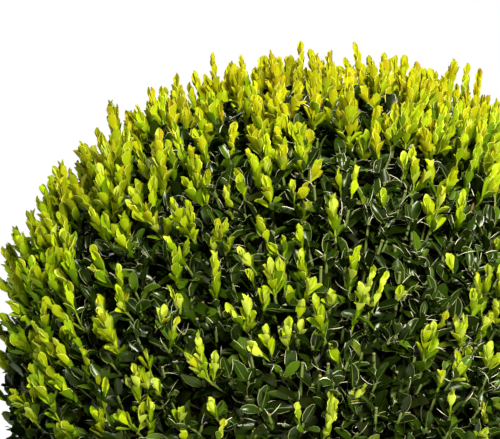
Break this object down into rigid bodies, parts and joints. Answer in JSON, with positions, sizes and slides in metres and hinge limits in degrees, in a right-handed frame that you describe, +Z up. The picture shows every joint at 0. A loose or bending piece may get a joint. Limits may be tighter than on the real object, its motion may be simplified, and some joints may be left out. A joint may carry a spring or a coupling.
{
  "type": "clipped box topiary ball shrub",
  "caption": "Rooted box shrub clipped to a ball, with a dense leafy crown, an uneven flush of new shoots and a short forked stem.",
  "frame": {"origin": "centre of the flat cut under the main stem, at ground level", "axes": "+Z up, the pictured side faces -Y, +X to its right"},
  "size_m": [0.4841, 0.4863, 0.5037],
  "materials": {
    "bark": "rough fissured grey-brown bark",
    "young_bark": "finely furrowed tan bark",
    "foliage": "small glossy dark leaves under yellow-green new shoots"
  },
  "bodies": {
    "root": {"main_stem": "bark", "bough_1": "young_bark", "bough_2": "young_bark", "bough_3": "young_bark", "bough_4": "young_bark", "bough_5": "young_bark", "clipped_crown": "foliage"}
  },
  "joints": []
}
